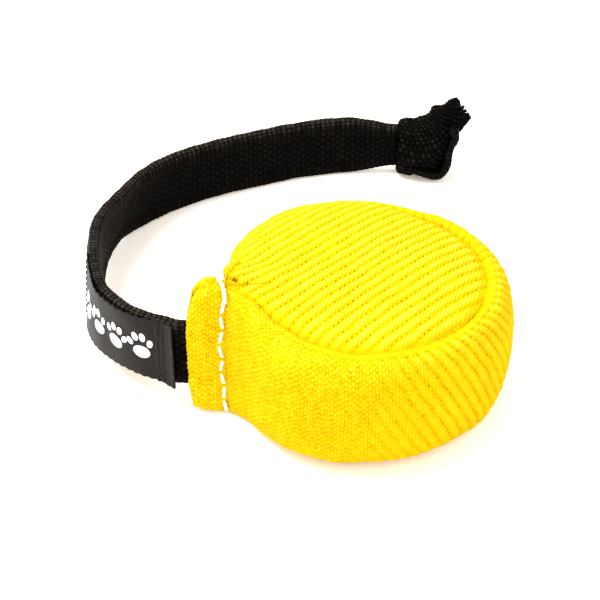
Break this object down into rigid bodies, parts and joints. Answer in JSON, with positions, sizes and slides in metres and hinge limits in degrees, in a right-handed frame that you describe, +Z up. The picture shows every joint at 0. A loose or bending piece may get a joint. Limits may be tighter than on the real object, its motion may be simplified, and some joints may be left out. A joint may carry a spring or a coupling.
{
  "type": "training bumper",
  "caption": "Stuffed round fabric training bumper whose side band ends in an upright stitched tab, with a flat webbing strap that swings from the tab and ends in a knot.",
  "frame": {"origin": "centre of the puck's flat underside, on the floor", "axes": "-X from the puck's centre towards the tab, +Z up from the underside, +Y towards the strap's loop"},
  "size_m": [0.1607, 0.1841, 0.049],
  "materials": {
    "bite_fabric": "coarse ribbed weave, matte",
    "stuffing": "loose fibre, matte",
    "white_thread": "twisted thread",
    "webbing": "tubular woven webbing, matte",
    "label_satin": "woven satin",
    "black_thread": "twisted thread"
  },
  "bodies": {
    "puck": {"top_panel": "bite_fabric", "side_band": "bite_fabric", "bottom_panel": "bite_fabric", "hem_front": "bite_fabric", "hem_back": "bite_fabric", "core": "stuffing", "top_seam_thread": "white_thread", "bottom_seam_thread": "white_thread", "tab_stitch_thread": "white_thread", "strap_anchor": "webbing"},
    "strap": {"strap": "webbing", "strap_knot": "webbing", "strap_tail": "webbing", "label": "label_satin", "label_stitch_near": "black_thread", "label_stitch_far": "black_thread"}
  },
  "joints": [
    {"name": "strap_swing", "type": "hinge", "parent": "puck", "child": "strap", "pos_m": [-0.05935, 0.00058, 0], "axis": [0, 0, 1], "range_deg": [-40, 90]}
  ]
}
